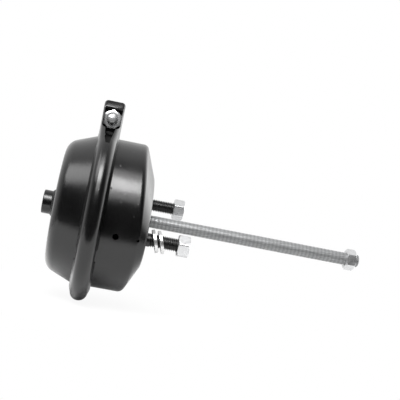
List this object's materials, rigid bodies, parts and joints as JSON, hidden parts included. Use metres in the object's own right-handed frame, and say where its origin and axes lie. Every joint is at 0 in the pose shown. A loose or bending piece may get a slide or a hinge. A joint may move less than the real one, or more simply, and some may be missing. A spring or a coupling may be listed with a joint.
{
  "type": "air brake chamber",
  "caption": "Single-diaphragm air brake service chamber: two pressed housings joined by a clamp band, with mounting studs, air port and a long threaded push rod.",
  "frame": {"origin": "centre of the mounting face, on the chamber's axis, midway between the two studs", "axes": "+X along the push rod towards its tip, +Z towards the clamp's ears and bolt; the studs' line is turned 19 degrees about X from the Y axis, its -Y end down"},
  "size_m": [0.4033, 0.2224, 0.2476],
  "materials": {
    "black_enamel": "gloss black enamel with slight orange peel over pressed steel",
    "clamp_bolt_zinc": "bright zinc plating, with overspray in its recesses",
    "stud_black": "satin black paint over a steel thread",
    "bright_zinc": "bright zinc plating, machined",
    "washer_zinc": "zinc plating over spring steel",
    "rod_zinc": "grey zinc plating over a rolled thread",
    "plain_steel": "phosphated steel",
    "spring_steel": "epoxy coated spring wire",
    "diaphragm_rubber": "fabric reinforced rubber, matt",
    "guide_plastic": "moulded, matt"
  },
  "bodies": {
    "chamber": {"pressure_housing": "black_enamel", "port_boss": "black_enamel", "port_weld": "black_enamel", "non_pressure_housing": "black_enamel", "stud_plate": "black_enamel", "clamp_band": "black_enamel", "clamp_bolt": "clamp_bolt_zinc", "clamp_nut": "clamp_bolt_zinc", "mounting_stud_near": "stud_black", "mounting_stud_far": "stud_black", "mounting_nut_near": "bright_zinc", "mounting_nut_far": "bright_zinc", "return_spring": "spring_steel", "diaphragm": "diaphragm_rubber", "rod_guide": "guide_plastic"},
    "rod_assembly": {"push_plate": "plain_steel", "push_rod": "rod_zinc", "rod_weld": "plain_steel", "rod_nut": "bright_zinc"},
    "inner_lock_washer": {"lock_washer_inner": "washer_zinc"},
    "outer_lock_washer": {"lock_washer_outer": "washer_zinc"}
  },
  "joints": [
    {"name": "push_rod_slide", "type": "slide", "parent": "chamber", "child": "rod_assembly", "axis": [1, 0, 0], "range_m": [0, 0.057], "stiffness_N_per_m": 3000, "springref_m": -0.05, "deforming": ["diaphragm", "return_spring"]},
    {"name": "inner_washer_slide", "type": "slide", "parent": "chamber", "child": "inner_lock_washer", "axis": [1, 0, 0], "range_m": [-0.004, 0.0013]},
    {"name": "outer_washer_slide", "type": "slide", "parent": "chamber", "child": "outer_lock_washer", "axis": [1, 0, 0], "range_m": [-0.0013, 0.012]}
  ]
}
